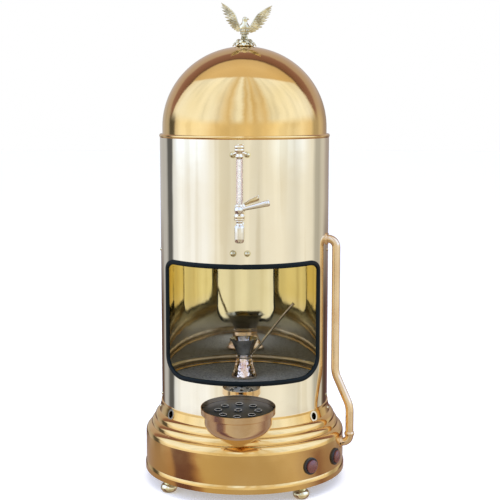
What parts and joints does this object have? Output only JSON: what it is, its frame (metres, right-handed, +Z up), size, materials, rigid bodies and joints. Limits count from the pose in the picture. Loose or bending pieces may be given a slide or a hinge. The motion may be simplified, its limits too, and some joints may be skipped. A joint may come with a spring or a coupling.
{
  "type": "hearth coffee machine",
  "caption": "Tabletop brass hearth coffee machine with a domed water tank, gauge glass and lever tap, a window for pots, a drip bowl and a conduit.",
  "frame": {"origin": "on the standing surface under the axis of the cylindrical body", "axes": "+Z up along the body axis, -Y towards the front (window, tap and drip bowl), +X towards the conduit and the switches"},
  "size_m": [0.3797, 0.4826, 0.854],
  "materials": {
    "spun_brass": "satin spun",
    "polished_brass": "mirror polished",
    "cast_brass": "polished cast",
    "pale_brass": "polished",
    "copper_brass": "polished",
    "pot_copper": "hammered",
    "nickel": "bright",
    "black_rubber": "satin",
    "black_plastic": "matte",
    "red_brown_plastic": "gloss",
    "black_enamel": "gloss enamel",
    "steel": "bright",
    "stainless": "satin",
    "board": "matt fibre board",
    "hearth_grit": "granular",
    "clear_glass": "clear"
  },
  "bodies": {
    "machine": {"base_plate": "steel", "base_skirt": "spun_brass", "bowl_bracket": "cast_brass", "bracket_screws": "cast_brass", "cap_nut_0": "cast_brass", "cap_nut_1": "cast_brass", "cap_nut_2": "cast_brass", "cap_nut_3": "cast_brass", "chamber_ceiling": "polished_brass", "conduit_collar": "copper_brass", "conduit_lower_ferrule": "copper_brass", "conduit_pipe": "copper_brass", "conduit_upper_ferrule": "copper_brass", "cord_gland": "black_plastic", "foot_0": "cast_brass", "foot_1": "cast_brass", "foot_2": "cast_brass", "foot_3": "cast_brass", "foot_nuts": "steel", "gauge_glass": "clear_glass", "gauge_top": "pale_brass", "hearth_element": "stainless", "hearth_insulation": "board", "hearth_pan": "polished_brass", "hearth_plate": "hearth_grit", "hearth_seat_ring": "steel", "outer_shell": "polished_brass", "shell_screws": "cast_brass", "shell_seat_ring": "steel", "switch_body_0": "black_plastic", "switch_body_1": "black_plastic", "tank_heater": "stainless", "tank_probe": "stainless", "tank_seat_ring": "steel", "tank_strap": "steel", "tap_body": "pale_brass", "tap_locknut": "cast_brass", "tap_nozzle": "pale_brass", "terminal_block": "black_plastic", "vent_eyelet_0": "nickel", "vent_eyelet_1": "nickel", "vent_eyelet_2": "nickel", "vent_eyelet_3": "nickel", "water_tank": "stainless", "window_trim": "black_rubber"},
    "dome": {"dome_shell": "spun_brass", "dome_collar": "spun_brass", "finial_base": "cast_brass", "finial_bird": "cast_brass", "finial_nut": "cast_brass"},
    "button_0": {"switch_button_0": "red_brown_plastic"},
    "button_1": {"switch_button_1": "red_brown_plastic"},
    "lever": {"tap_lever": "pale_brass"},
    "bowl": {"drip_bowl": "copper_brass"},
    "strainer": {"drip_strainer": "black_enamel"},
    "pot": {"cezve_pot": "pot_copper", "cezve_handle": "steel"}
  },
  "joints": [
    {"name": "dome_lift", "type": "slide", "parent": "machine", "child": "dome", "axis": [0, 0, 1], "range_m": [0, 0.2]},
    {"name": "switch_0_press", "type": "slide", "parent": "machine", "child": "button_0", "axis": [-0.6691, 0.7431, 0], "range_m": [0, 0.003], "stiffness_N_per_m": 400},
    {"name": "switch_1_press", "type": "slide", "parent": "machine", "child": "button_1", "axis": [-0.9085, 0.4179, 0], "range_m": [0, 0.003], "stiffness_N_per_m": 400},
    {"name": "tap_turn", "type": "hinge", "parent": "machine", "child": "lever", "pos_m": [0, -0.1955, 0.506], "axis": [0, 1, 0], "range_deg": [0, 90]},
    {"name": "bowl_lift", "type": "slide", "parent": "machine", "child": "bowl", "axis": [0, 0, 1], "range_m": [0, 0.08]},
    {"name": "strainer_lift", "type": "slide", "parent": "bowl", "child": "strainer", "axis": [0, -0.061, 0.9981], "range_m": [0, 0.06]},
    {"name": "pot_draw", "type": "slide", "parent": "machine", "child": "pot", "axis": [0, -0.96, 0.28], "range_m": [0, 0.34]}
  ]
}
